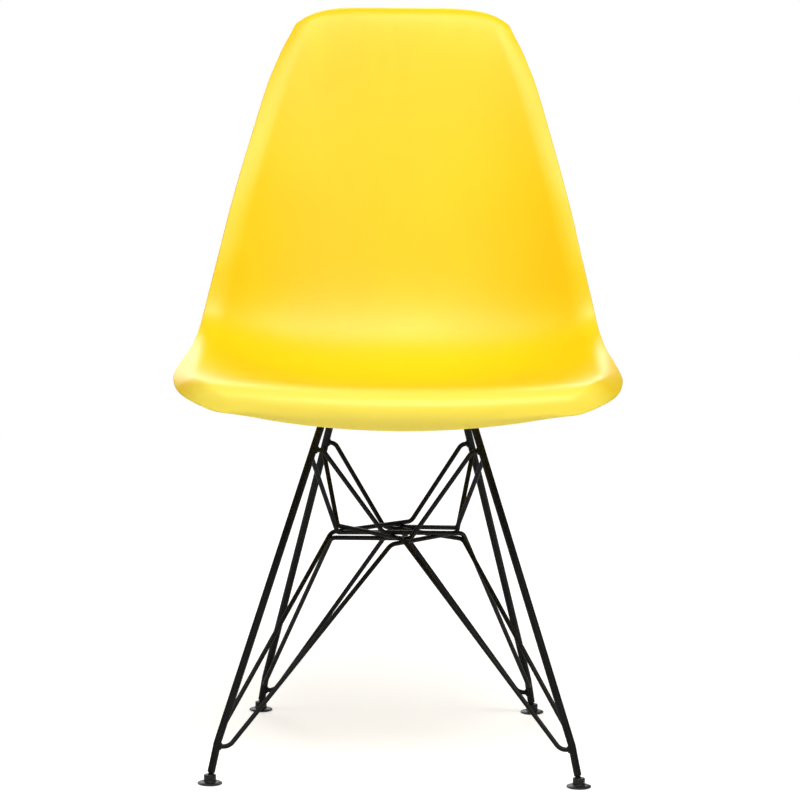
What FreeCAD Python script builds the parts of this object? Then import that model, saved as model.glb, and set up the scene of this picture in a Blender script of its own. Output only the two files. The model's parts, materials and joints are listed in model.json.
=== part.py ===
import FreeCAD
import Part
import math
import os
from FreeCAD import Vector

# Moulded plastic side chair on a welded wire base. Millimetres, +Z up, the chair faces -Y, floor at Z 0.

# Seat shell
seat_half_width = 234.9     # at the widest place of the seat
seat_reach = 270.5          # how far the front lip stands forward of the middle of the base
back_reach = 266.3          # how far the upper edge stands behind it
back_height = 401.5         # height of the upper edge above the feet of the bosses
wall = 4.0                  # moulded wall
lip_width = 23.0            # width of the rolled edge along both sides
seat_tilt_end = 300.0       # distance along the profile where the seat starts to turn into the back
back_start = 580.0          # and where the back is fully up
back_lean = 15.0            # degrees that the back leans
front_dish_power = 2.0      # how late the section rises towards its sides, at the front edge
dish_power = 2.7            # and in the seat and back
lip_power = 1.8             # how late the edge rolls over
crown_power = 5.3           # how square the upper corners are

# Side view of the shell's upper face: poles of a cubic curve, as Y and height above the feet of the bosses,
# front lip edge first
profile_poles = [
    (10.5 - seat_reach, -2.5), (-seat_reach, 12.5), (5.5 - seat_reach, 38.5), (-213, 37.5), (-120, 21.5),
    (-20, 10.5), (66, 4.5), (132, 16.5), (167, 68.5), (186, 143.5), (207, 233.5), (231, 328.5),
    (back_reach - 19.3, back_height - 12), (back_reach - 12.3, back_height), (back_reach, back_height),
]

# Along the profile, in mm from the front edge: how much narrower each half is than at the widest place, dish
# height at the side, roll of the side edge, how far the section bows back at its ends, and how far the upper
# corners draw in and drop
inset_at = [
    (0, 84.9), (10, 60.9), (22, 40.9), (40, 23.9), (62, 11.9), (90, 4.9), (125, 1.4), (170, 0), (230, 1.4),
    (300, 6), (360, 12), (410, 16.8), (460, 22.3), (515, 30.9), (580, 43.2), (640, 57.3), (700, 72.8),
    (745, 85.1), (785, 98.3), (805, 105.1), (820, 110.5), (832, 113.9), (843, 116.3), (850, 116.9),
]
dish_at = [
    (0, 10.5), (20, 6), (45, 4), (85, 6), (125, 12), (230, 27), (340, 45), (440, 60), (520, 62), (600, 53),
    (700, 32), (780, 16), (850, 4),
]
roll_at = [
    (0, 0), (10, 3), (22, 9.2), (40, 16.6), (50, 18.3), (62, 18.2), (85, 15.5), (125, 12), (230, 9), (620, 9),
    (790, 8), (830, 6), (850, 1),
]
bow_at = [
    (0, 20), (10, 30), (22, 42), (40, 50), (62, 53), (90, 50), (130, 42), (200, 22), (280, 6), (350, 0), (850, 0),
]
tuck_at = [(0, 0), (812, 0), (835, 2), (843, 4.2), (850, 7)]
crown_at = [(0, 0), (745, 0), (785, 3), (815, 10), (835, 16), (850, 20)]
row_count = 52
column_count = 35

# Wire base. Points are on the right hand side; the left is mirrored.
leg_d = 8.0
wire_d = 5.0
front_ball = (192.0, -184.5, 7.0)
front_knee = (184.6, -178.0, 42.5)
top_run_z = 376.0           # height of the level run under the seat
front_shoulder = (76.4, -70.8, top_run_z)
rear_shoulder = (66.2, 60.4, top_run_z)
rear_knee = (147.6, 178.0, 39.0)
rear_ball = (152.8, 184.5, 7.0)
knee_r = 22.0
shoulder_r = 18.0

# Centre ring: every wire comes up from one leg, climbs along one side of the ring and goes up to the opposite
# leg. At each corner two wires come in on the outside and two go up on the inside.
ring_z = 236.0              # middle of the ring
ring_tilt = 0.075           # drop towards the rear, mm per mm
ring_gap = 6.2              # between the two wires that lie on the same side
ring_climb = 6.5            # how much a wire climbs along its side
side_outer = 70.8           # from the middle to the bends at the left and right corners
side_inner = 64.2
end_outer = 70.2            # from the middle to the bends at the front and rear corners
end_inner = 66.5
side_rise_shift = 0.3       # rising wires bend level this much before a left or right corner
side_leave_shift = 5.8      # leaving wires bend up this much past it
end_rise_shift = 6.0        # the same for the front and rear corners
end_leave_shift = 14.8
rise_r = 13.0
leave_r = 8.0

# Welded wire ends: level ends that meet a leg; heights for wires of the front and rear corners, then the side
# corners
low_hook = 13.0
low_hook_r = 12.0
high_hook = 10.0
high_hook_r = 9.0
front_low_z = (38.7, 53.0)
front_high_z = (337.5, 330.0)
rear_low_z = (24.0, 34.0)
rear_high_z = (321.4, 313.0)

# Glides
ball_r = 4.4
neck_r = 2.6
neck_start = 5.8            # distance from the ball's centre where the leg begins to narrow
neck_end = 4.8
boot_r = 13.0
boot_floor_gap = 0.5
rim_r = 0.8                 # rounding of the skirt's edge
skirt_top = 3.1             # height where the skirt meets the collar
skirt_swell = 0.35          # how much the skirt bulges
skirt_fillet_r = 1.6
collar_r = 6.4
collar_top = 10.4
collar_edge_r = 1.2
socket_gap = 0.08
mouth_r = 3.1               # socket mouth: radius near the ball and how it opens, so that the boot can tilt
mouth_slope = 0.17
mouth_length = 12.0
pad_r = 11.2
pad_thickness = 1.4

# Seat fixings, on four moulded bosses
strap_width = 26.0
strap_thickness = 2.5
strap_overhang = 7.0
strap_corner_r = 4.0
front_strap_y = -50.0
rear_strap_y = 42.0
screw_x = 54.0
hole_r = 3.3
spacer_r = 11.0
spacer_thickness = 4.0
boss_r = 11.0
boss_draft = 0.6            # how much wider the boss is at the shell
insert_r = 4.2
insert_length = 6.2
insert_bore_r = 3.0
screw_r = 2.95
screw_length = 13.0
head_r = 5.5
head_height = 3.4
washer_r = 6.5
washer_thickness = 1.2
key_across = 4.0
key_depth = 2.0

touching = 0.01             # pieces nearer than this are shaped to each other

# Heights of the seat fixings: the shell stands on them
strap_z = top_run_z + leg_d / 2
spacer_z = strap_z + strap_thickness
boss_z = spacer_z + spacer_thickness


def smooth_value(table, s):
    """Cubic Hermite curve through the table's (position, value) pairs."""
    xs = [p[0] for p in table]
    ys = [p[1] for p in table]
    if s <= xs[0]:
        return ys[0]
    if s >= xs[-1]:
        return ys[-1]
    i = max(k for k in range(len(xs) - 1) if xs[k] <= s)

    def slope(k):
        if k == 0:
            return (ys[1] - ys[0]) / (xs[1] - xs[0])
        if k == len(xs) - 1:
            return (ys[-1] - ys[-2]) / (xs[-1] - xs[-2])
        before = (ys[k] - ys[k - 1]) / (xs[k] - xs[k - 1])
        after = (ys[k + 1] - ys[k]) / (xs[k + 1] - xs[k])
        if before * after <= 0:
            return 0.0
        return 2 * before * after / (before + after)

    h = xs[i + 1] - xs[i]
    t = (s - xs[i]) / h
    a = (1 + 2 * t) * (1 - t) ** 2
    b = t * (1 - t) ** 2
    c = t * t * (3 - 2 * t)
    d = t * t * (t - 1)
    return a * ys[i] + b * h * slope(i) + c * ys[i + 1] + d * h * slope(i + 1)


def profile_curve():
    curve = Part.BSplineCurve()
    curve.buildFromPoles([Vector(0, y, boss_z + height) for y, height in profile_poles], False, 3)
    return curve


profile = profile_curve()
profile_length = profile.length()


def shell_point(s, across):
    """Point of the shell's upper face. s runs from the front edge along the profile, across from -1 to 1."""
    table_s = s / profile_length * inset_at[-1][0]
    centre = profile.value(profile.parameterAtDistance(s)) if s > 0 else profile.value(0)
    half = seat_half_width - smooth_value(inset_at, table_s)
    turn = min(1.0, max(0.0, (table_s - seat_tilt_end) / (back_start - seat_tilt_end)))
    turn = turn * turn * (3 - 2 * turn) * math.radians(90 - back_lean)
    up = Vector(0, -math.sin(turn), math.cos(turn))
    along = Vector(0, math.cos(turn), math.sin(turn))
    power = front_dish_power + (dish_power - front_dish_power) * min(1.0, table_s / seat_tilt_end)
    dish = smooth_value(dish_at, table_s) * abs(across) ** power
    into_lip = max(0.0, abs(across) * half - (half - lip_width)) / lip_width
    roll = smooth_value(roll_at, table_s) * into_lip ** lip_power
    bow = smooth_value(bow_at, table_s) * across * across
    corner = abs(across) ** crown_power
    tuck = smooth_value(tuck_at, table_s) * corner
    crown = smooth_value(crown_at, table_s) * corner
    return centre + Vector(across * half, bow - tuck, 0) + up * (dish - roll) - along * crown


def spread(count, pull):
    """Positions from 0 to 1, closer together at both ends as pull nears 1."""
    places = []
    for k in range(count):
        t = k / (count - 1)
        places.append(t - pull * math.sin(2 * math.pi * t) / (2 * math.pi))
    return places


def seat_surfaces():
    rows = [profile_length * t for t in spread(row_count, 0.80)]
    columns = [2 * t - 1 for t in spread(column_count, 0.75)]
    grid = [[shell_point(s, a) for a in columns] for s in rows]
    last_row = len(rows) - 1
    last_column = len(columns) - 1
    upper = []
    lower = []
    for i in range(len(rows)):
        upper_row = []
        lower_row = []
        for j in range(len(columns)):
            along = grid[min(i + 1, last_row)][j] - grid[max(i - 1, 0)][j]
            side = grid[i][min(j + 1, last_column)] - grid[i][max(j - 1, 0)]
            normal = side.cross(along).normalize()
            here = grid[i][j]
            upper_row.append(here)
            lower_row.append(here - normal * wall)
        upper.append(upper_row)
        lower.append(lower_row)
    return upper, lower


def surface_through(points):
    surface = Part.BSplineSurface()
    surface.interpolate(points)
    return surface


def shell_blank():
    upper, lower = seat_surfaces()
    top = surface_through(upper).toShape()
    bottom = surface_through(lower).toShape()
    rims = []
    for a, b in zip(top.Edges, bottom.Edges):
        rims.append(Part.makeRuledSurface(a, b))
    sewn = Part.Shell(Part.makeCompound([top, bottom] + rims).Faces)
    if not sewn.isClosed():
        sewn.sewShape()
    solid = Part.Solid(sewn)
    if solid.Volume < 0:
        solid.reverse()
    return solid


def on_side(point, side):
    return Vector(side * point[0], point[1], point[2])


def bent_rod(corners, bends, diameter):
    """Round rod along straight lines between the corners, with an arc of the given radius at each bend."""
    pieces = []
    start = corners[0]
    for k in range(1, len(corners) - 1):
        corner = corners[k]
        back = (corners[k - 1] - corner).normalize()
        ahead = (corners[k + 1] - corner).normalize()
        opening = back.getAngle(ahead)
        reach = bends[k - 1] / math.tan(opening / 2)
        bend_start = corner + back * reach
        middle = (back + ahead).normalize()
        centre = corner + middle * (bends[k - 1] / math.sin(opening / 2))
        axis = back.cross(ahead).normalize()
        pieces.append(Part.makeCylinder(diameter / 2, (bend_start - start).Length, start, bend_start - start))
        face = Part.Face(Part.Wire(Part.makeCircle(diameter / 2, bend_start, back)))
        pieces.append(face.revolve(centre, axis, -math.degrees(math.pi - opening)))
        start = corner + ahead * reach
    end = corners[-1]
    pieces.append(Part.makeCylinder(diameter / 2, (end - start).Length, start, end - start))
    return pieces[0].fuse(pieces[1:])


def leg_points(end, side):
    """Ball, knee and shoulder of one leg."""
    if end == "front":
        return [on_side(p, side) for p in (front_ball, front_knee, front_shoulder)]
    return [on_side(p, side) for p in (rear_ball, rear_knee, rear_shoulder)]


def leg_at(end, side, z):
    """Centre of a leg at height z."""
    ball, knee, shoulder = leg_points(end, side)
    low, high = (ball, knee) if z < knee.z else (knee, shoulder)
    return low + (high - low) * ((z - low.z) / (high.z - low.z))


def ball_end(end, side):
    """The narrowed end of a leg and its ball."""
    ball, knee, shoulder = leg_points(end, side)
    up = (knee - ball).normalize()
    neck = Part.makeCylinder(neck_r, neck_end, ball, up)
    taper = Part.makeCone(neck_r, leg_d / 2, neck_start - neck_end, ball + up * neck_end, up)
    return Part.makeSphere(ball_r, ball).fuse([neck, taper])


def side_frame(side):
    front = leg_points("front", side)
    rear = leg_points("rear", side)
    front_start = front[0] + (front[1] - front[0]).normalize() * neck_start
    rear_start = rear[0] + (rear[1] - rear[0]).normalize() * neck_start
    corners = [front_start, front[1], front[2], rear[2], rear[1], rear_start]
    rod = bent_rod(corners, [knee_r, shoulder_r, shoulder_r, knee_r], leg_d)
    return rod.fuse([ball_end("front", side), ball_end("rear", side)])


ring_direction = {"front": (0, -1), "rear": (0, 1), "left": (-1, 0), "right": (1, 0)}


def ring_corner(corner, other, level, rising):
    """Bend of a wire at a corner of the ring; other is the corner at the other end of the same side."""
    at_end = corner in ("front", "rear")
    if rising:
        distance = end_outer if at_end else side_outer
        shift = end_rise_shift if at_end else side_rise_shift
        z = ring_z + (level * ring_gap - ring_climb) / 2
    else:
        distance = end_inner if at_end else side_inner
        shift = end_leave_shift if at_end else side_leave_shift
        z = ring_z + (level * ring_gap + ring_climb) / 2
    here = ring_direction[corner]
    there = ring_direction[other]
    x = here[0] * distance - there[0] * shift
    y = here[1] * distance - there[1] * shift
    return Vector(x, y, z - ring_tilt * y)


def wire_end(leg, corner, low):
    """End of a wire at the middle of a leg, and the bend beside it."""
    end, side = leg
    heights = {"front": (front_low_z, front_high_z), "rear": (rear_low_z, rear_high_z)}[end][0 if low else 1]
    reach = low_hook if low else high_hook
    if corner in ("front", "rear"):
        tip = leg_at(end, side, heights[0])
        return tip, tip + Vector(-side * reach, 0, 0)
    tip = leg_at(end, side, heights[1])
    return tip, tip + Vector(0, reach if end == "front" else -reach, 0)


def brace(route):
    low_leg, first, second, high_leg, level = route
    tip_low, bend_low = wire_end(low_leg, first, True)
    tip_high, bend_high = wire_end(high_leg, second, False)
    corners = [
        tip_low, bend_low,
        ring_corner(first, second, level, True),
        ring_corner(second, first, level, False),
        bend_high, tip_high,
    ]
    return bent_rod(corners, [low_hook_r, rise_r, leave_r, high_hook_r], wire_d)


# Low leg, the two corners of the ring side it runs along, high leg, and which of the two levels it lies on
front_left = ("front", -1)
front_right = ("front", 1)
rear_left = ("rear", -1)
rear_right = ("rear", 1)
brace_routes = {
    "brace_1": (front_left, "front", "right", rear_right, -1),
    "brace_2": (rear_right, "rear", "left", front_left, -1),
    "brace_3": (front_right, "right", "rear", rear_left, -1),
    "brace_4": (rear_left, "left", "front", front_right, -1),
    "brace_5": (front_left, "left", "rear", rear_right, 1),
    "brace_6": (front_right, "front", "left", rear_left, 1),
    "brace_7": (rear_left, "rear", "right", front_right, 1),
    "brace_8": (rear_right, "right", "front", front_left, 1),
}


def line(a, b):
    """Line between two points given as distance from the axis and height."""
    return Part.makeLine(Vector(a[0], 0, a[1]), Vector(b[0], 0, b[1]))


def arc(a, through, b):
    return Part.Arc(Vector(a[0], 0, a[1]), Vector(through[0], 0, through[1]), Vector(b[0], 0, b[1])).toShape()


def boot_and_pad(end, side):
    """Glide boot with its ball socket, and the pad in its foot."""
    ball, knee, shoulder = leg_points(end, side)
    up = (knee - ball).normalize()
    rise = Vector(0, 0, 1)
    foot = Vector(ball.x, ball.y, 0)
    floor_z = boot_floor_gap
    rim_x = boot_r - rim_r
    rim_top = floor_z + 2 * rim_r
    fillet_x = collar_r + skirt_fillet_r
    fillet_z = skirt_top + skirt_fillet_r
    edge_x = collar_r - collar_edge_r
    edge_z = collar_top - collar_edge_r
    half_root = math.sqrt(0.5)
    outline = [
        line((0, floor_z), (rim_x, floor_z)),
        arc((rim_x, floor_z), (boot_r, floor_z + rim_r), (rim_x, rim_top)),
        arc((rim_x, rim_top), ((rim_x + fillet_x) / 2, (rim_top + skirt_top) / 2 + skirt_swell),
            (fillet_x, skirt_top)),
        arc((fillet_x, skirt_top),
            (fillet_x - skirt_fillet_r * half_root, fillet_z - skirt_fillet_r * half_root),
            (collar_r, fillet_z)),
        line((collar_r, fillet_z), (collar_r, edge_z)),
        arc((collar_r, edge_z), (edge_x + collar_edge_r * half_root, edge_z + collar_edge_r * half_root),
            (edge_x, collar_top)),
        line((edge_x, collar_top), (0, collar_top)),
        line((0, collar_top), (0, floor_z)),
    ]
    boot = Part.Face(Part.Wire(outline)).revolve(Vector(0, 0, 0), rise, 360)
    boot.translate(foot)
    socket = Part.makeSphere(ball_r + socket_gap, ball)
    mouth = Part.makeCone(mouth_r, mouth_r + mouth_length * mouth_slope, mouth_length, ball, up)
    recess = Part.makeCylinder(pad_r, pad_thickness, foot, rise)
    boot = boot.cut(socket.fuse(mouth)).cut(recess)
    pad = Part.makeCylinder(pad_r, pad_thickness, foot, rise)
    return boot, pad


def rod_x(y):
    """Distance of the side frame's level top run from the middle."""
    share = (y - front_shoulder[1]) / (rear_shoulder[1] - front_shoulder[1])
    return front_shoulder[0] + share * (rear_shoulder[0] - front_shoulder[0])


def strap(y):
    half = rod_x(y) + strap_overhang
    plate = Part.makeBox(2 * half, strap_width, strap_thickness, Vector(-half, y - strap_width / 2, strap_z))
    corners = [e for e in plate.Edges if abs(e.tangentAt(e.FirstParameter).z) > 0.9]
    plate = plate.makeFillet(strap_corner_r, corners)
    for side in (-1, 1):
        hole = Part.makeCylinder(hole_r, strap_thickness, Vector(side * screw_x, y, strap_z))
        plate = plate.cut(hole)
    return plate


def screw_places():
    return [(end, side, side * screw_x, y) for end, y in (("front", front_strap_y), ("rear", rear_strap_y))
            for side in (-1, 1)]


def spacer(x, y):
    ring = Part.makeCylinder(spacer_r, spacer_thickness, Vector(x, y, spacer_z))
    return ring.cut(Part.makeCylinder(hole_r, spacer_thickness, Vector(x, y, spacer_z)))


def insert(x, y):
    sleeve = Part.makeCylinder(insert_r, insert_length, Vector(x, y, boss_z))
    return sleeve.cut(Part.makeCylinder(insert_bore_r, insert_length, Vector(x, y, boss_z)))


def washer(x, y):
    z = strap_z - washer_thickness
    ring = Part.makeCylinder(washer_r, washer_thickness, Vector(x, y, z))
    return ring.cut(Part.makeCylinder(hole_r, washer_thickness, Vector(x, y, z)))


def screw(x, y):
    z = strap_z - washer_thickness
    shank = Part.makeCylinder(screw_r, screw_length, Vector(x, y, z))
    head = Part.makeCylinder(head_r, head_height, Vector(x, y, z - head_height))
    rim = [e for e in head.Edges if abs(e.BoundBox.ZMax - (z - head_height)) < 0.01 and e.Length > 6 * head_r]
    head = head.makeFillet(head_height / 3, rim)
    key = []
    for k in range(7):
        angle = math.radians(60 * k)
        reach = key_across / 2 / math.cos(math.radians(30))
        key.append(Vector(x + reach * math.cos(angle), y + reach * math.sin(angle), z - head_height))
    socket = Part.Face(Part.makePolygon(key)).extrude(Vector(0, 0, key_depth))
    return head.cut(socket).fuse(shank)


def seat_shell():
    shell = shell_blank()
    for end, side, x, y in screw_places():
        base = Vector(x, y, boss_z)
        wall_part = shell.common(Part.makeLine(base, Vector(x, y, shell.BoundBox.ZMax)))
        top = sum(v.Point.z for v in wall_part.Vertexes) / len(wall_part.Vertexes)
        boss = Part.makeCone(boss_r, boss_r + boss_draft, top - boss_z, base, Vector(0, 0, 1))
        shell = shell.fuse(boss)
    for end, side, x, y in screw_places():
        shell = shell.cut(Part.makeCylinder(insert_r, insert_length, Vector(x, y, boss_z)))
    return shell


def only_solid(shape):
    """The largest solid of a shape."""
    return max(shape.Solids, key=lambda solid: solid.Volume)


def save(name, shape):
    solid = only_solid(shape)
    solid.exportStep("parts/" + name + ".step")
    return solid


def main():
    os.makedirs("parts", exist_ok=True)
    save("seat_shell", seat_shell())

    frames = {}
    for side, word in ((-1, "left"), (1, "right")):
        frames[side] = save("side_frame_" + word, side_frame(side))
    save("mount_strap_front", strap(front_strap_y))
    save("mount_strap_rear", strap(rear_strap_y))

    # Wire ends are shaped to the legs, and each crossing wire is seated into the ones welded before it
    placed = []
    for name, route in brace_routes.items():
        rod = brace(route).cut([frames[-1], frames[1]])
        near = [other for other in placed if rod.distToShape(other)[0] < touching]
        if near:
            rod = rod.cut(near)
        placed.append(save(name, rod))

    for end, side, x, y in screw_places():
        place = end + ("_left" if side < 0 else "_right")
        save("spacer_" + place, spacer(x, y))
        save("insert_" + place, insert(x, y))
        save("washer_" + place, washer(x, y))
        save("screw_" + place, screw(x, y))
        boot, pad = boot_and_pad(end, side)
        save("glide_boot_" + place, boot)
        save("glide_pad_" + place, pad)


main()
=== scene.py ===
import bisect
import json
import math

import bpy
from mathutils import Matrix, Vector


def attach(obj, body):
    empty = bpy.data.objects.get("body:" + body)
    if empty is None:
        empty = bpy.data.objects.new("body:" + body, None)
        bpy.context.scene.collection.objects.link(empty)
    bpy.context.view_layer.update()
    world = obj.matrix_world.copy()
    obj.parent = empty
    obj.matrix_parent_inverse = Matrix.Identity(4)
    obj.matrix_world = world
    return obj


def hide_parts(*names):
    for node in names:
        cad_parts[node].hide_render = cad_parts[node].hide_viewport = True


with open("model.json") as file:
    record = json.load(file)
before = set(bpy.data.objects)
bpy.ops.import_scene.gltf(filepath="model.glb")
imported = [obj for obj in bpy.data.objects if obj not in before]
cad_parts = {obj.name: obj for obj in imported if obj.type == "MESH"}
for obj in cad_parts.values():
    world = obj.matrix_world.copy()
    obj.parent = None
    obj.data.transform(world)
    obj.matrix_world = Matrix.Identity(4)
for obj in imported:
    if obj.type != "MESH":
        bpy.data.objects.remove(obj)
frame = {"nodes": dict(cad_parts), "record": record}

scene = bpy.context.scene
scene.view_settings.view_transform = "Standard"
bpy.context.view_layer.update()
print("frame loaded:", len(frame["nodes"]), "nodes")

mm = 0.001


# Camera: a long lens a little above the seat, looking slightly down. Metres and radians.
cameraSetup = {
    "place": (0.0197, -4.4803, 0.9963),
    "lookDown": 0.1367,
    "turn": 0.004,
    "roll": 0.0085,
    "lens": 189.8,           # mm
    "sensor": 36.0,          # mm
    "farthest": 50.0,        # nothing beyond is drawn
}


def addCamera(setup):
    data = bpy.data.cameras.new("chairCamera")
    data.lens = setup["lens"]
    data.sensor_width = setup["sensor"]
    data.clip_end = setup["farthest"]
    camera = bpy.data.objects.new("chairCamera", data)
    scene.collection.objects.link(camera)
    turn = Matrix.Rotation(setup["turn"], 4, "Z")
    tilt = Matrix.Rotation(math.pi / 2 - setup["lookDown"], 4, "X")
    roll = Matrix.Rotation(setup["roll"], 4, "Z")
    camera.matrix_world = Matrix.Translation(setup["place"]) @ (turn @ tilt) @ roll
    scene.camera = camera


addCamera(cameraSetup)
print("camera ready")


# Small helpers for node materials

def newMaterial(name):
    material = bpy.data.materials.new(name)
    material.use_nodes = True
    tree = material.node_tree
    shader = tree.nodes["Principled BSDF"]
    return material, tree, shader


def addNode(tree, kind, **settings):
    node = tree.nodes.new(kind)
    for key, value in settings.items():
        setattr(node, key, value)
    return node


def objectCoords(tree, stretch=(1, 1, 1)):
    coords = addNode(tree, "ShaderNodeTexCoord")
    mapping = addNode(tree, "ShaderNodeMapping")
    mapping.inputs["Scale"].default_value = stretch
    tree.links.new(coords.outputs["Object"], mapping.inputs["Vector"])
    return mapping.outputs["Vector"]


def splitAxes(tree, vector):
    node = addNode(tree, "ShaderNodeSeparateXYZ")
    tree.links.new(vector, node.inputs["Vector"])
    return node.outputs


def noiseField(tree, vector, scale, detail, rough):
    noise = addNode(tree, "ShaderNodeTexNoise")
    noise.inputs["Scale"].default_value = scale
    noise.inputs["Detail"].default_value = detail
    noise.inputs["Roughness"].default_value = rough
    tree.links.new(vector, noise.inputs["Vector"])
    return noise.outputs["Fac"]


def ramp(tree, value, stops):
    # Two stops, each a place from 0 to 1 and a colour
    node = addNode(tree, "ShaderNodeValToRGB")
    for element, (place, colour) in zip(node.color_ramp.elements, stops):
        element.position = place
        element.color = (*colour, 1.0)
    tree.links.new(value, node.inputs["Fac"])
    return node.outputs["Color"]


def remap(tree, value, low, high, toLow, toHigh):
    node = addNode(tree, "ShaderNodeMapRange")
    ends = {"From Min": low, "From Max": high, "To Min": toLow, "To Max": toHigh}
    for key, number in ends.items():
        node.inputs[key].default_value = number
    tree.links.new(value, node.inputs["Value"])
    return node.outputs["Result"]


def mathNode(tree, operation, a, b):
    node = addNode(tree, "ShaderNodeMath", operation=operation)
    for socket, value in zip(node.inputs, (a, b)):
        if isinstance(value, (int, float)):
            socket.default_value = value
        else:
            tree.links.new(value, socket)
    return node.outputs["Value"]


def mixColour(tree, factor, a, b):
    node = addNode(tree, "ShaderNodeMix", data_type="RGBA")
    for socket, value in ((node.inputs[0], factor), (node.inputs[6], a), (node.inputs[7], b)):
        if isinstance(value, tuple):
            socket.default_value = (*value, 1.0)
        else:
            tree.links.new(value, socket)
    return node.outputs[2]


def addBump(tree, shader, height, strength, distance, below=None):
    bump = addNode(tree, "ShaderNodeBump")
    bump.inputs["Strength"].default_value = strength
    bump.inputs["Distance"].default_value = distance
    tree.links.new(height, bump.inputs["Height"])
    if below is not None:
        tree.links.new(below, bump.inputs["Normal"])
    tree.links.new(bump.outputs["Normal"], shader.inputs["Normal"])
    return bump.outputs["Normal"]


def linear(red, green, blue):
    # The shader's value of a screen colour that is given from 0 to 255
    shares = [c / 255 for c in (red, green, blue)]
    return tuple(c / 12.92 if c <= 0.04 else ((c + 0.055) / 1.055) ** 2.4 for c in shares)


# In all finishes a span is the part of a noise over which its mark comes up, and a bump is a strength
# and a depth in metres
midSpan = (0.3, 0.7)         # where most of a noise lies


# Moulded plastic of the shell: satin, with a very fine texture, flow marks, faint rubbing where people sit
# and a painted highlight along the front edge
shellPlastic = {
    "lemon": linear(251, 213, 2),
    "golden": linear(250, 204, 0),
    "clouds": {"scale": 4.5, "detail": 2.0, "rough": 0.4},
    "cloudSpan": (0.35, 0.68),
    "pale": linear(252, 218, 8),
    "flow": {"scale": 26.0, "detail": 5.0, "rough": 0.55},
    "flowStretch": (1.0, 1.0, 0.22),
    "flowSpan": (0.50, 0.80),
    "flowShare": 0.35,
    "speck": linear(214, 176, 10),
    "specks": {"scale": 900.0, "detail": 2.0, "rough": 0.5},
    "speckSpan": (0.66, 0.80),
    "speckShare": 0.06,
    # Painted highlight along the front edge: its colour, where it starts and ends, and how much of it shows
    "paintedHighlight": linear(253, 236, 92),
    "paintedHighlightFrom": -0.228,    # metres: a painted highlight makes the front edge paler from here forward
    "paintedHighlightTo": -0.256,
    "paintedHighlightShare": 0.75,
    "paintedHighlightPatches": (0.75, 1.0),    # least and most of it that shows, patch by patch
    "edgeCurve": 1.03,       # how fast the front edge runs back towards its corners
    "roughness": (0.40, 0.48),
    "patches": {"scale": 9.0, "detail": 3.0, "rough": 0.5},
    "scuffs": {"scale": 420.0, "detail": 3.0, "rough": 0.6},
    "scuffStretch": (1.0, 0.08, 0.3),
    "scuffSpan": (0.62, 0.75),
    "scuffRoughness": 0.04,
    "grain": {"scale": 1500.0, "detail": 3.0, "rough": 0.6},
    "grainBump": (0.06, 0.00006),
    "ripple": {"scale": 16.0, "detail": 1.0, "rough": 0.4},
    "rippleBump": (0.18, 0.0012),
    "refraction": 1.5,
    "specular": 0.5,
}


def makeShellPlastic(look):
    material, tree, shader = newMaterial("shellPlastic")
    place = objectCoords(tree)
    clouds = noiseField(tree, place, **look["clouds"])
    golden = remap(tree, clouds, *look["cloudSpan"], 0.0, 1.0)
    body = mixColour(tree, golden, look["lemon"], look["golden"])
    flow = noiseField(tree, objectCoords(tree, look["flowStretch"]), **look["flow"])
    streaked = remap(tree, flow, *look["flowSpan"], 0.0, look["flowShare"])
    body = mixColour(tree, streaked, body, look["pale"])
    specks = noiseField(tree, place, **look["specks"])
    specked = remap(tree, specks, *look["speckSpan"], 0.0, look["speckShare"])
    body = mixColour(tree, specked, body, look["speck"])

    # A painted highlight pales the front edge, which follows a shallow curve across the seat
    axes = splitAxes(tree, place)
    sideways = mathNode(tree, "ABSOLUTE", axes["X"], 0.0)
    curve = mathNode(tree, "MULTIPLY", mathNode(tree, "POWER", sideways, 2.0), look["edgeCurve"])
    forward = mathNode(tree, "SUBTRACT", axes["Y"], curve)
    paintedHighlight = remap(tree, forward, look["paintedHighlightFrom"], look["paintedHighlightTo"], 0.0, look["paintedHighlightShare"])
    patchy = remap(tree, clouds, *midSpan, *look["paintedHighlightPatches"])
    body = mixColour(tree, mathNode(tree, "MULTIPLY", paintedHighlight, patchy), body, look["paintedHighlight"])
    tree.links.new(body, shader.inputs["Base Color"])

    # Seat and back are rubbed a little smoother in broad patches, with thin scuffs across them
    patches = noiseField(tree, place, **look["patches"])
    scuffs = noiseField(tree, objectCoords(tree, look["scuffStretch"]), **look["scuffs"])
    rough = remap(tree, patches, *midSpan, *look["roughness"])
    scuffed = remap(tree, scuffs, *look["scuffSpan"], 0.0, look["scuffRoughness"])
    tree.links.new(mathNode(tree, "ADD", rough, scuffed), shader.inputs["Roughness"])

    grain = noiseField(tree, place, **look["grain"])
    first = addBump(tree, shader, grain, *look["grainBump"])
    ripple = noiseField(tree, place, **look["ripple"])
    addBump(tree, shader, ripple, *look["rippleBump"], first)
    shader.inputs["IOR"].default_value = look["refraction"]
    shader.inputs["Specular IOR Level"].default_value = look["specular"]
    return material


# Powder coat of the base: black, satin, with orange peel and a little dust
blackCoat = {
    "black": (0.0022, 0.0022, 0.0024),
    "worn": (0.007, 0.007, 0.007),
    "clouds": {"scale": 40.0, "detail": 4.0, "rough": 0.6},
    "wornSpan": (0.42, 0.75),
    "wornShare": 0.6,
    "dust": (0.03, 0.03, 0.03),
    "dustSpecks": {"scale": 1400.0, "detail": 2.0, "rough": 0.5},
    "dustSpan": (0.72, 0.84),
    "dustShare": 0.25,
    "roughness": (0.42, 0.56),
    "peel": {"scale": 620.0, "detail": 2.0, "rough": 0.5},
    "peelBump": (0.25, 0.00004),
    "fine": {"scale": 2600.0, "detail": 1.0, "rough": 0.5},
    "fineBump": (0.15, 0.00003),
    "specular": 0.20,
}


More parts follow.
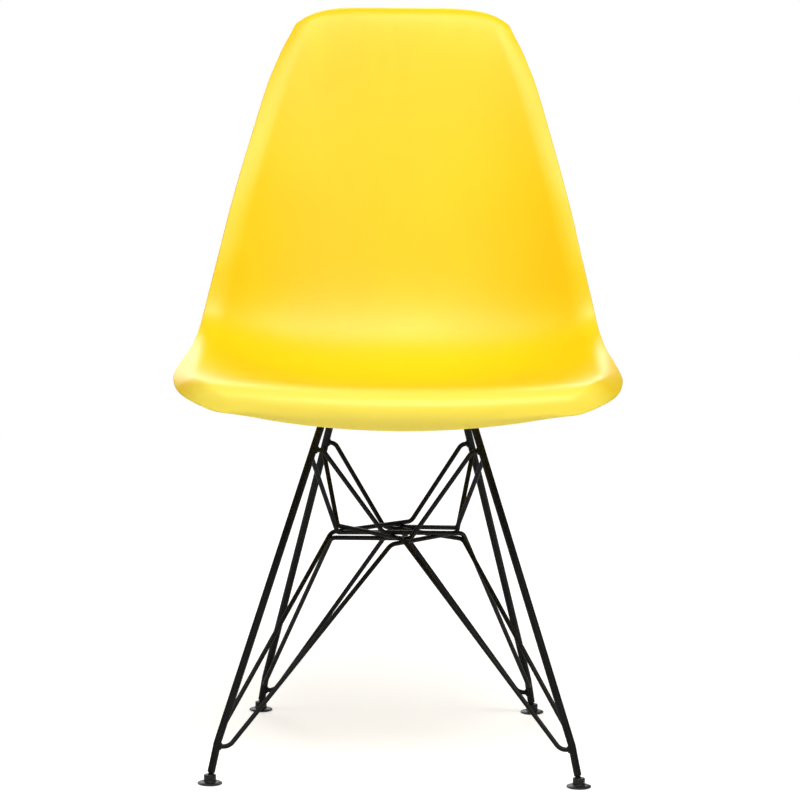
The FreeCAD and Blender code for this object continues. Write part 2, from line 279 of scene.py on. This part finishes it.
def makeBlackCoat(look):
    material, tree, shader = newMaterial("blackCoat")
    place = objectCoords(tree)
    clouds = noiseField(tree, place, **look["clouds"])
    worn = remap(tree, clouds, *look["wornSpan"], 0.0, look["wornShare"])
    colour = mixColour(tree, worn, look["black"], look["worn"])
    specks = noiseField(tree, place, **look["dustSpecks"])
    dust = remap(tree, specks, *look["dustSpan"], 0.0, look["dustShare"])
    colour = mixColour(tree, dust, colour, look["dust"])
    tree.links.new(colour, shader.inputs["Base Color"])
    tree.links.new(remap(tree, clouds, *midSpan, *look["roughness"]), shader.inputs["Roughness"])
    first = addBump(tree, shader, noiseField(tree, place, **look["peel"]), *look["peelBump"])
    addBump(tree, shader, noiseField(tree, place, **look["fine"]), *look["fineBump"], first)
    shader.inputs["Specular IOR Level"].default_value = look["specular"]
    return material


# Zinc plated screws and washers
zincPlate = {
    "dull": (0.40, 0.41, 0.42),
    "bright": (0.62, 0.63, 0.62),
    "stain": {"scale": 260.0, "detail": 5.0, "rough": 0.6},
    "stainSpan": (0.35, 0.62),
    "turning": {"scale": 380.0, "detail": 3.0, "rough": 0.5},
    "turningStretch": (1, 1, 14),
    "turningSpan": (0.35, 0.65),
    "turningBump": (0.3, 0.00004),
    "roughness": (0.24, 0.46),
}


def makeZincPlate(look):
    material, tree, shader = newMaterial("zincPlate")
    stain = noiseField(tree, objectCoords(tree), **look["stain"])
    colour = ramp(tree, stain, zip(look["stainSpan"], (look["dull"], look["bright"])))
    tree.links.new(colour, shader.inputs["Base Color"])
    shader.inputs["Metallic"].default_value = 1.0
    turned = noiseField(tree, objectCoords(tree, look["turningStretch"]), **look["turning"])
    tree.links.new(remap(tree, turned, *look["turningSpan"], *look["roughness"]), shader.inputs["Roughness"])
    addBump(tree, shader, turned, *look["turningBump"])
    return material


# Turned brass of the threaded inserts
turnedBrass = {
    "dull": (0.42, 0.28, 0.11),
    "bright": (0.78, 0.57, 0.24),
    "tarnish": {"scale": 300.0, "detail": 4.0, "rough": 0.6},
    "tarnishSpan": (0.36, 0.60),
    "ringScale": 380.0,
    "ringWaver": 0.6,
    "ringBump": (0.5, 0.0001),
    "roughness": (0.45, 0.25),
}


def makeTurnedBrass(look):
    material, tree, shader = newMaterial("brass")
    place = objectCoords(tree)
    rings = addNode(tree, "ShaderNodeTexWave", bands_direction="Z")
    rings.inputs["Scale"].default_value = look["ringScale"]
    rings.inputs["Distortion"].default_value = look["ringWaver"]
    tree.links.new(place, rings.inputs["Vector"])
    tarnish = noiseField(tree, place, **look["tarnish"])
    colour = ramp(tree, tarnish, zip(look["tarnishSpan"], (look["dull"], look["bright"])))
    tree.links.new(colour, shader.inputs["Base Color"])
    shader.inputs["Metallic"].default_value = 1.0
    tree.links.new(remap(tree, tarnish, *midSpan, *look["roughness"]), shader.inputs["Roughness"])
    addBump(tree, shader, rings.outputs["Fac"], *look["ringBump"])
    return material


# Rubber of the seat spacers
spacerRubber = {
    "black": (0.016, 0.016, 0.017),
    "bloom": (0.060, 0.060, 0.062),
    "film": {"scale": 120.0, "detail": 5.0, "rough": 0.65},
    "filmSpan": (0.40, 0.80),
    "roughness": (0.62, 0.85),
    "grain": {"scale": 1100.0, "detail": 3.0, "rough": 0.6},
    "grainBump": (0.4, 0.00008),
    "specular": 0.35,
}


def makeSpacerRubber(look):
    material, tree, shader = newMaterial("spacerRubber")
    place = objectCoords(tree)
    film = noiseField(tree, place, **look["film"])
    colour = ramp(tree, film, zip(look["filmSpan"], (look["black"], look["bloom"])))
    tree.links.new(colour, shader.inputs["Base Color"])
    tree.links.new(remap(tree, film, *midSpan, *look["roughness"]), shader.inputs["Roughness"])
    addBump(tree, shader, noiseField(tree, place, **look["grain"]), *look["grainBump"])
    shader.inputs["Specular IOR Level"].default_value = look["specular"]
    return material


# Nylon of the glides: black, finely spark-textured, greyer and scuffed near the floor
glideNylon = {
    "black": (0.006, 0.006, 0.0065),
    "scuffed": (0.13, 0.13, 0.125),
    "scuffTop": 0.0022,      # metres above the floor
    "scratches": {"scale": 520.0, "detail": 4.0, "rough": 0.7},
    "scratchStretch": (1, 1, 6),
    "scratchSpan": (0.45, 0.62),
    "roughness": (0.42, 0.80),
    "grain": {"scale": 1900.0, "detail": 3.0, "rough": 0.6},
    "grainBump": (0.4, 0.00005),
    "specular": 0.30,
}


def makeGlideNylon(look):
    material, tree, shader = newMaterial("glideNylon")
    place = objectCoords(tree)
    nearFloor = remap(tree, splitAxes(tree, place)["Z"], 0.0, look["scuffTop"], 1.0, 0.0)
    scratches = noiseField(tree, objectCoords(tree, look["scratchStretch"]), **look["scratches"])
    scratched = remap(tree, scratches, *look["scratchSpan"], 0.0, 1.0)
    scuff = mathNode(tree, "MULTIPLY", nearFloor, scratched)
    tree.links.new(mixColour(tree, scuff, look["black"], look["scuffed"]), shader.inputs["Base Color"])
    tree.links.new(remap(tree, scuff, 0.0, 1.0, *look["roughness"]), shader.inputs["Roughness"])
    addBump(tree, shader, noiseField(tree, place, **look["grain"]), *look["grainBump"])
    shader.inputs["Specular IOR Level"].default_value = look["specular"]
    return material


# Rubber of the pads under the glides
padRubber = {
    "grey": (0.060, 0.060, 0.058),
    "worn": (0.150, 0.145, 0.135),
    "wear": {"scale": 180.0, "detail": 6.0, "rough": 0.7},
    "wearSpan": (0.42, 0.72),
    "roughness": (0.70, 0.92),
    "grain": {"scale": 1500.0, "detail": 4.0, "rough": 0.7},
    "grainBump": (0.5, 0.0001),
}


def makePadRubber(look):
    material, tree, shader = newMaterial("padRubber")
    place = objectCoords(tree)
    wear = noiseField(tree, place, **look["wear"])
    colour = ramp(tree, wear, zip(look["wearSpan"], (look["grey"], look["worn"])))
    tree.links.new(colour, shader.inputs["Base Color"])
    tree.links.new(remap(tree, wear, *midSpan, *look["roughness"]), shader.inputs["Roughness"])
    addBump(tree, shader, noiseField(tree, place, **look["grain"]), *look["grainBump"])
    return material


finishes = {
    "shell": makeShellPlastic(shellPlastic),
    "base_steel": makeBlackCoat(blackCoat),
    "fixing_steel": makeZincPlate(zincPlate),
    "insert_brass": makeTurnedBrass(turnedBrass),
    "spacer_rubber": makeSpacerRubber(spacerRubber),
    "glide_plastic": makeGlideNylon(glideNylon),
    "pad_rubber": makePadRubber(padRubber),
}
slotOf = {part["node"]: part["material_slot"] for part in frame["record"]["subparts"]}
for name, node in frame["nodes"].items():
    node.data.materials.clear()
    node.data.materials.append(finishes[slotOf[name]])
print("finishes ready:", len(finishes))


def addPiece(name, points, faces, body, slot):
    mesh = bpy.data.meshes.new(name)
    mesh.from_pydata([tuple(p) for p in points], [], faces)
    mesh.update()
    piece = bpy.data.objects.new(name, mesh)
    scene.collection.objects.link(piece)
    mesh.materials.append(finishes[slot])
    mesh.polygons.foreach_set("use_smooth", [True] * len(mesh.polygons))
    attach(piece, body)
    return piece


# Seat shell. Same side view, widths and dish as the solid model, with a rounded rim. Sizes in mm.
# The tables run along the side view from the front edge: distance, value.
shellShape = {
    "poles": [
        (-260, 384), (-270.5, 399), (-265, 425), (-213, 424), (-120, 408), (-20, 397), (66, 391),
        (132, 403), (167, 455), (186, 530), (207, 620), (231, 715), (247, 776), (254, 788), (266.3, 788),
    ],
    "tableLength": 850,
    "halfWidth": [
        (0, 150), (10, 174), (22, 194), (40, 211), (62, 223), (90, 230), (125, 233.5), (170, 234.9),
        (230, 233.5), (300, 228.9), (360, 222.9), (410, 218.1), (460, 212.6), (515, 204), (580, 191.7),
        (640, 177.6), (700, 162.1), (745, 149.8), (785, 136.6), (805, 129.8), (820, 124.4), (832, 121),
        (843, 118.6), (850, 118),
    ],
    "dish": [                # rise of the sides
        (0, 10.5), (20, 6), (45, 4), (85, 6), (125, 12), (230, 27), (340, 45), (440, 60), (520, 62),
        (600, 53), (700, 32), (780, 16), (850, 4),
    ],
    "roll": [                # drop of the rolled edge
        (0, 0), (10, 3), (22, 9.2), (40, 16.6), (50, 18.3), (62, 18.2), (85, 15.5), (125, 12), (230, 9),
        (620, 9), (790, 8), (830, 6), (850, 1),
    ],
    "bow": [                 # how far the ends of a row run back
        (0, 20), (10, 30), (22, 42), (40, 50), (62, 53), (90, 50), (130, 42), (200, 22), (280, 6),
        (350, 0), (850, 0),
    ],
    "tuck": [(0, 0), (812, 0), (835, 2), (843, 4.2), (850, 7)],             # upper corners come forward
    "crown": [(0, 0), (745, 0), (785, 3), (815, 10), (835, 16), (850, 20)],     # and drop
    "frontDishPower": 2.0,   # how late a row rises towards its sides, at the front edge
    "dishPower": 2.7,        # and in the seat and back
    "lipPower": 1.8,         # how late the edge rolls over
    "crownPower": 5.3,       # how square the upper corners are
    "lipWidth": 23.0,
    "turnStart": 300.0,      # where the seat begins to turn into the back
    "turnEnd": 580.0,
    "backLean": 15.0,        # degrees
    "wall": 4.0,
    "rows": 150,
    "rowPull": 0.7,          # how much closer the rows stand near both ends
    "columns": 96,
    "columnPull": 0.75,
    "rimSteps": 6,
    "rimBulge": 0.55,        # share of half the wall
    "sideViewSteps": 3000,
}


def smoothValue(table, place):
    # Smooth curve through the table that stays between neighbouring values
    xs = [p[0] for p in table]
    ys = [p[1] for p in table]
    if place <= xs[0]:
        return ys[0]
    if place >= xs[-1]:
        return ys[-1]
    i = bisect.bisect_right(xs, place) - 1

    def slope(k):
        if k == 0:
            return (ys[1] - ys[0]) / (xs[1] - xs[0])
        if k == len(xs) - 1:
            return (ys[-1] - ys[-2]) / (xs[-1] - xs[-2])
        before = (ys[k] - ys[k - 1]) / (xs[k] - xs[k - 1])
        after = (ys[k + 1] - ys[k]) / (xs[k + 1] - xs[k])
        return 0.0 if before * after <= 0 else 2 * before * after / (before + after)

    gap = xs[i + 1] - xs[i]
    t = (place - xs[i]) / gap
    return ((1 + 2 * t) * (1 - t) ** 2 * ys[i] + t * (1 - t) ** 2 * gap * slope(i)
            + t * t * (3 - 2 * t) * ys[i + 1] + t * t * (t - 1) * gap * slope(i + 1))


def cubicPoint(poles, t):
    # Point of an evenly spaced cubic curve that starts and ends at its outer poles; t from 0 to 1
    spans = len(poles) - 3
    knots = [0.0] * 3 + [k / spans for k in range(spans + 1)] + [1.0] * 3
    span = min(int(t * spans), spans - 1) + 3
    work = [Vector((0, *poles[span - 3 + k])) for k in range(4)]
    for level in range(1, 4):
        for k in range(3, level - 1, -1):
            left = knots[span - 3 + k]
            right = knots[span + 1 + k - level]
            share = (t - left) / (right - left)
            work[k] = work[k - 1].lerp(work[k], share)
    return work[3]


class SideView:
    # The centre line as a fine polyline, read by distance along it
    def __init__(self, poles, steps):
        self.points = [cubicPoint(poles, k / steps) for k in range(steps + 1)]
        self.places = [0.0]
        for a, b in zip(self.points, self.points[1:]):
            self.places.append(self.places[-1] + (b - a).length)
        self.length = self.places[-1]

    def at(self, s):
        s = min(max(s, 0.0), self.length)
        k = min(bisect.bisect_right(self.places, s), len(self.places) - 1)
        a, b = self.places[k - 1], self.places[k]
        return self.points[k - 1].lerp(self.points[k], (s - a) / (b - a))


sideView = SideView(shellShape["poles"], shellShape["sideViewSteps"])


def shellPoint(shape, s, across):
    # Point of the upper face: s along the side view from the front edge, across from -1 to 1
    place = s / sideView.length * shape["tableLength"]
    half = smoothValue(shape["halfWidth"], place)
    turn = (place - shape["turnStart"]) / (shape["turnEnd"] - shape["turnStart"])
    turn = min(1.0, max(0.0, turn))
    turn = turn * turn * (3 - 2 * turn) * math.radians(90 - shape["backLean"])
    up = Vector((0, -math.sin(turn), math.cos(turn)))
    along = Vector((0, math.cos(turn), math.sin(turn)))
    intoLip = max(0.0, abs(across) * half - (half - shape["lipWidth"])) / shape["lipWidth"]
    frontShare = min(1.0, place / shape["turnStart"])
    power = shape["frontDishPower"] + (shape["dishPower"] - shape["frontDishPower"]) * frontShare
    dish = smoothValue(shape["dish"], place) * abs(across) ** power
    roll = smoothValue(shape["roll"], place) * intoLip ** shape["lipPower"]
    bow = smoothValue(shape["bow"], place) * across * across
    corner = abs(across) ** shape["crownPower"]
    tuck = smoothValue(shape["tuck"], place) * corner
    crown = smoothValue(shape["crown"], place) * corner
    spread = Vector((across * half, bow - tuck, 0))
    return sideView.at(s) + spread + up * (dish - roll) - along * crown


def easedSteps(count, pull):
    # Places from 0 to 1 that stand closer together near both ends
    turn = 2 * math.pi
    return [k / count - pull * math.sin(turn * k / count) / turn for k in range(count + 1)]


def edgeKeys(rows, columns):
    # Row and column of every point round the shell's edge, starting along the front
    front = [(0, j) for j in range(columns + 1)]
    right = [(i, columns) for i in range(1, rows + 1)]
    top = [(rows, j) for j in range(columns - 1, -1, -1)]
    left = [(i, 0) for i in range(rows - 1, 0, -1)]
    return front + right + top + left


def buildShell(shape):
    rows, columns = shape["rows"], shape["columns"]
    alongs = [sideView.length * t for t in easedSteps(rows, shape["rowPull"])]
    acrosses = [2 * t - 1 for t in easedSteps(columns, shape["columnPull"])]
    upper = {}
    for i, s in enumerate(alongs):
        for j, across in enumerate(acrosses):
            upper[i, j] = shellPoint(shape, s, across)
    normals = {}
    for i, j in upper:
        along = upper[min(i + 1, rows), j] - upper[max(i - 1, 0), j]
        side = upper[i, min(j + 1, columns)] - upper[i, max(j - 1, 0)]
        normals[i, j] = side.cross(along).normalized()

    # Upper and lower skin, a wall apart
    points = list(upper.values())
    points += [upper[key] - normals[key] * shape["wall"] for key in upper]
    topIndex = {key: k for k, key in enumerate(upper)}
    lowIndex = {key: len(upper) + k for k, key in enumerate(upper)}
    faces = []
    for i in range(rows):
        for j in range(columns):
            corners = ((i, j), (i, j + 1), (i + 1, j + 1), (i + 1, j))
            a, b, c, d = corners
            faces.append(tuple(topIndex[key] for key in (a, b, c, d)))
            faces.append(tuple(lowIndex[key] for key in (a, d, c, b)))

    # The rim joins the two skins in a half round that bulges a little past their edge
    edge = edgeKeys(rows, columns)
    outs = []
    for k, key in enumerate(edge):
        before = upper[edge[k - 1]]
        after = upper[edge[(k + 1) % len(edge)]]
        outs.append((after - before).cross(normals[key]).normalized())
    radius = shape["wall"] / 2
    rings = [[topIndex[key] for key in edge]]
    for step in range(1, shape["rimSteps"]):
        angle = math.pi * step / shape["rimSteps"]
        ring = []
        for key, out in zip(edge, outs):
            middle = upper[key] - normals[key] * radius
            bulge = out * (math.sin(angle) * radius * shape["rimBulge"])
            ring.append(len(points))
            points.append(middle + normals[key] * (math.cos(angle) * radius) + bulge)
        rings.append(ring)
    rings.append([lowIndex[key] for key in edge])
    for ringA, ringB in zip(rings, rings[1:]):
        for k in range(len(edge)):
            n = (k + 1) % len(edge)
            faces.append((ringA[n], ringA[k], ringB[k], ringB[n]))

    shell = addPiece("shell", [p * mm for p in points], faces, "base", "shell")
    smoothing = shell.modifiers.new("smoothing", "SUBSURF")
    smoothing.levels = 1
    smoothing.render_levels = 1
    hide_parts("seat_shell")
    return shell


shell = buildShell(shellShape)
print("shell built:", len(shell.data.vertices), "points")


# Moulded bosses under the seat, each with a fillet into the shell. Sizes in mm.
bossShape = {
    "places": [(54, -50), (-54, -50), (54, 42), (-54, 42)],
    "foot": 386.5,
    "radius": 11.0,
    "footRound": (0.5, 0.15),        # how far the foot's edge is taken off, at its ends and half way
    "bore": 4.2,                     # radius
    "boreDepth": 6.2,
    "boreChamfer": 0.3,
    "fillet": 3.0,
    "filletSteps": 5,
    "leastShaft": 1.0,               # straight part under the fillet
    "intoShell": 1.6,                # how far the top stands in the shell's wall
    "around": 64,                    # points round the boss
    "search": (0.08, 0.45, 400),     # start and length as shares of the side view, and number of steps
}


def seatUnderside(shape, x, y):
    # Height of the shell's lower face over a point near the middle of the seat
    start, length, steps = shape["search"]
    best = None
    for k in range(steps):
        s = sideView.length * (start + length * k / steps)
        half = smoothValue(shellShape["halfWidth"], s / sideView.length * shellShape["tableLength"])
        p = shellPoint(shellShape, s, x / half)
        if best is None or abs(p.y - y) < abs(best.y - y):
            best = p
    return best.z - shellShape["wall"]


def bossOutline(shape, height):
    # Radius and height of each corner, from the bottom of the bore round to its top
    radius, bore, chamfer = shape["radius"], shape["bore"], shape["boreChamfer"]
    full, slight = shape["footRound"]
    fillet = min(shape["fillet"], height - shape["leastShaft"])
    outline = [
        (bore, shape["boreDepth"]), (bore, chamfer), (bore + chamfer, 0.0), (radius - full, 0.0),
        (radius - slight, slight), (radius, full), (radius, height - fillet),
    ]
    for k in range(1, shape["filletSteps"] + 1):
        angle = math.pi / 2 * k / shape["filletSteps"]
        inward, upward = fillet * math.cos(angle), fillet * math.sin(angle)
        outline.append((radius + fillet - inward, height - fillet + upward))
    top = height + shape["intoShell"]
    return outline + [(radius + fillet, top), (bore, top)]


def buildBosses(shape):
    turns = shape["around"]
    for number, (x, y) in enumerate(shape["places"], 1):
        outline = bossOutline(shape, seatUnderside(shape, x, y) - shape["foot"])
        count = len(outline)
        points, faces = [], []
        for k in range(turns):
            angle = 2 * math.pi * k / turns
            for radius, height in outline:
                point = (x + radius * math.cos(angle), y + radius * math.sin(angle), shape["foot"] + height)
                points.append(Vector(point) * mm)
        for k in range(turns):
            n = (k + 1) % turns
            for i in range(count):
                m = (i + 1) % count
                faces.append((k * count + i, n * count + i, n * count + m, k * count + m))
        addPiece("boss_%d" % number, points, faces, "base", "shell")


buildBosses(bossShape)
print("bosses built:", len(bossShape["places"]))


# Weld beads where the wires meet the legs and where the straps lie on the rods. Sizes in mm.
weldShape = {
    "legs": {                # ball, knee and shoulder of the right hand legs
        "front": [(192.0, -184.5, 7.0), (184.6, -178.0, 42.5), (76.4, -70.8, 376.0)],
        "rear": [(152.8, 184.5, 7.0), (147.6, 178.0, 39.0), (66.2, 60.4, 376.0)],
    },
    "inward": {"front": 1, "rear": -1},
    "sideways": {"front": (38.7, 337.5), "rear": (24.0, 321.4)},     # heights of the wires along X
    "lengthways": {"front": (53.0, 330.0), "rear": (34.0, 313.0)},   # and along Y
    "legRadius": 4.0,
    "wireRadius": 2.5,
    "beadRadius": 1.15,
    "beadLift": 0.25,        # out of the corner between wire and leg
    "ripple": 0.10,          # share of the radius
    "ripples": 9,
    "steps": 45,
    "straps": (-50.0, 42.0),
    "strapWidth": 26.0,
    "strapBead": 2.7,        # half length of a bead at a strap's edge
    "strapSteps": 12,
    "strapEnd": 0.35,        # radius at its ends, as a share
    "sides": 10,
}


def beadTube(centres, outs, radii, sides, closed):
    count = len(centres)
    points, faces = [], []
    for k, centre in enumerate(centres):
        before = centres[k - 1] if closed or k > 0 else centre
        after = centres[(k + 1) % count] if closed or k < count - 1 else centre
        tangent = (after - before).normalized()
        out = (outs[k] - tangent * outs[k].dot(tangent)).normalized()
        side = tangent.cross(out)
        for m in range(sides):
            angle = 2 * math.pi * m / sides
            points.append((centre + (out * math.cos(angle) + side * math.sin(angle)) * radii[k]) * mm)
    for k in range(count if closed else count - 1):
        n = (k + 1) % count
        for m in range(sides):
            j = (m + 1) % sides
            faces.append((k * sides + m, k * sides + j, n * sides + j, n * sides + m))
    if not closed:
        faces.append(tuple(reversed(range(sides))))
        faces.append(tuple(range((count - 1) * sides, count * sides)))
    return points, faces


def legAt(shape, end, side, z):
    # Middle of a leg at height z, and the way the leg runs there
    ball, knee, shoulder = [Vector((side * x, y, height)) for x, y, height in shape["legs"][end]]
    low, high = (ball, knee) if z < knee.z else (knee, shoulder)
    return low.lerp(high, (z - low.z) / (high.z - low.z)), (high - low).normalized()


def legBead(shape, middle, legWay, wireWay):
    # The bead follows the line where the wire's skin runs into the leg's
    up = Vector((0, 0, 1))
    across = wireWay.cross(up)
    alongFlat = wireWay - legWay * wireWay.dot(legWay)
    square = alongFlat.length_squared
    centres, outs, radii = [], [], []
    for k in range(shape["steps"]):
        angle = 2 * math.pi * k / shape["steps"]
        wireOut = across * math.cos(angle) + up * math.sin(angle)
        start = wireOut * shape["wireRadius"]
        flat = start - legWay * start.dot(legWay)
        half = flat.dot(alongFlat)
        under = half * half - square * (flat.length_squared - shape["legRadius"] ** 2)
        reach = (-half + math.sqrt(under)) / square
        legOut = (flat + alongFlat * reach).normalized()
        out = (wireOut + legOut).normalized()
        centres.append(middle + start + wireWay * reach + out * shape["beadLift"])
        outs.append(out)
        radii.append(shape["beadRadius"] * (1 + shape["ripple"] * math.sin(shape["ripples"] * angle)))
    return beadTube(centres, outs, radii, shape["sides"], True)


def strapBead(shape, x, y, z):
    # A short bead over the top of the rod, along the edge of the strap
    steps, end = shape["strapSteps"], shape["strapEnd"]
    centres, outs, radii = [], [], []
    for k in range(steps + 1):
        share = k / (steps / 2) - 1
        dx = share * shape["strapBead"]
        centres.append(Vector((x + dx, y, z + math.sqrt(shape["legRadius"] ** 2 - dx * dx))))
        outs.append(Vector((0, 0, 1)))
        fullness = math.sqrt(max(0.0, 1 - share * share))
        radii.append(shape["beadRadius"] * (end + (1 - end) * fullness))
    return beadTube(centres, outs, radii, shape["sides"], False)


def allBeads(shape):
    beads = []
    for end, inward in shape["inward"].items():
        for side in (-1, 1):
            wires = [(Vector((-side, 0, 0)), z) for z in shape["sideways"][end]]
            wires += [(Vector((0, inward, 0)), z) for z in shape["lengthways"][end]]
            for wireWay, z in wires:
                middle, legWay = legAt(shape, end, side, z)
                beads.append(legBead(shape, middle, legWay, wireWay))
    frontX, frontY, top = shape["legs"]["front"][2]
    rearX, rearY, _ = shape["legs"]["rear"][2]
    for y in shape["straps"]:
        for edge in (-1, 1):
            atEdge = y + edge * shape["strapWidth"] / 2
            x = frontX + (rearX - frontX) * (atEdge - frontY) / (rearY - frontY)
            for side in (-1, 1):
                beads.append(strapBead(shape, side * x, atEdge, top))
    return beads


def buildWelds(beads):
    points, faces = [], []
    for beadPoints, beadFaces in beads:
        start = len(points)
        points += beadPoints
        faces += [tuple(start + k for k in face) for face in beadFaces]
    addPiece("weld_beads", points, faces, "base", "base_steel")


weldBeads = allBeads(weldShape)
buildWelds(weldBeads)
print("welds built:", len(weldBeads))


# Floor: a plain white sheet that keeps the chair's shadow and turns into the white background further out
floorSheet = {
    "size": 30.0,
    "white": (0.90, 0.90, 0.90),
    "roughness": 0.9,
    "glow": 0.45,            # lift of the sheet towards white
    "fadeStart": 0.9,        # metres from the middle
    "fadeEnd": 2.4,
}


def mixShaders(tree, factor, first, second):
    node = addNode(tree, "ShaderNodeMixShader")
    for socket, source in zip(node.inputs, (factor, first, second)):
        tree.links.new(source, socket)
    return node.outputs[0]


def addFloor(look):
    half = look["size"] / 2
    corners = [(-half, -half, 0), (half, -half, 0), (half, half, 0), (-half, half, 0)]
    mesh = bpy.data.meshes.new("floorSheet")
    mesh.from_pydata(corners, [], [(0, 1, 2, 3)])
    sheet = bpy.data.objects.new("floorSheet", mesh)
    scene.collection.objects.link(sheet)
    material, tree, shader = newMaterial("whiteSheet")
    shader.inputs["Base Color"].default_value = (*look["white"], 1.0)
    shader.inputs["Roughness"].default_value = look["roughness"]
    shader.inputs["Specular IOR Level"].default_value = 0.0

    # Only what the camera sees is lifted to white; the light that the floor gives back stays plain
    away = addNode(tree, "ShaderNodeVectorMath", operation="LENGTH")
    tree.links.new(objectCoords(tree), away.inputs[0])
    fade = remap(tree, away.outputs["Value"], look["fadeStart"], look["fadeEnd"], 0.0, 1.0)
    seen = addNode(tree, "ShaderNodeLightPath").outputs["Is Camera Ray"]
    glow = addNode(tree, "ShaderNodeEmission")
    tree.links.new(mathNode(tree, "MULTIPLY", seen, look["glow"]), glow.inputs["Strength"])
    lifted = addNode(tree, "ShaderNodeAddShader")
    tree.links.new(shader.outputs[0], lifted.inputs[0])
    tree.links.new(glow.outputs[0], lifted.inputs[1])
    white = addNode(tree, "ShaderNodeEmission")
    faded = mixShaders(tree, mathNode(tree, "MULTIPLY", seen, fade), lifted.outputs[0], white.outputs[0])

    # Seen from under the floor, the sheet is clear and the chair shows through it
    below = addNode(tree, "ShaderNodeNewGeometry").outputs["Backfacing"]
    clear = addNode(tree, "ShaderNodeBsdfTransparent")
    surface = mixShaders(tree, below, faded, clear.outputs[0])
    tree.links.new(surface, tree.nodes["Material Output"].inputs["Surface"])
    mesh.materials.append(material)


addFloor(floorSheet)
print("floor laid")


# Light: a dim white room, three soft lights above and in front, the middle one strongest, and one behind
roomStrength = 0.20
softLights = {
    "middle": {"place": (0.1, -1.5, 2.7), "aim": (0.0, 0.0, 0.5), "size": (2.0, 1.2), "power": 50.0},
    "right": {"place": (1.3, -1.3, 2.6), "aim": (0.0, 0.0, 0.5), "size": (1.4, 1.4), "power": 22.0},
    "left": {"place": (-1.2, -1.2, 2.7), "aim": (0.0, 0.0, 0.5), "size": (1.4, 1.4), "power": 12.0},
    "behind": {"place": (-0.6, 3.2, 2.0), "aim": (0.0, 0.1, 0.5), "size": (2.6, 2.0), "power": 60.0},
}


def addSoftLight(name, setup):
    data = bpy.data.lights.new(name, "AREA")
    data.shape = "RECTANGLE"
    data.size, data.size_y = setup["size"]
    data.energy = setup["power"]
    lamp = bpy.data.objects.new(name, data)
    scene.collection.objects.link(lamp)
    lamp.location = setup["place"]
    lamp.rotation_mode = "QUATERNION"
    way = Vector(setup["aim"]) - Vector(setup["place"])
    lamp.rotation_quaternion = way.to_track_quat("-Z", "Y")


def addRoom(strength):
    # The camera sees plain white, and the chair is lit by a dimmer white
    world = bpy.data.worlds.new("studio")
    scene.world = world
    world.use_nodes = True
    tree = world.node_tree
    tree.nodes.clear()
    backgrounds = []
    for level in (strength, 1.0):
        background = addNode(tree, "ShaderNodeBackground")
        background.inputs["Color"].default_value = (1, 1, 1, 1)
        background.inputs["Strength"].default_value = level
        backgrounds.append(background.outputs[0])
    seen = addNode(tree, "ShaderNodeLightPath").outputs["Is Camera Ray"]
    out = addNode(tree, "ShaderNodeOutputWorld")
    tree.links.new(mixShaders(tree, seen, *backgrounds), out.inputs["Surface"])


addRoom(roomStrength)
for name, setup in softLights.items():
    addSoftLight(name + "Light", setup)
print("light ready")
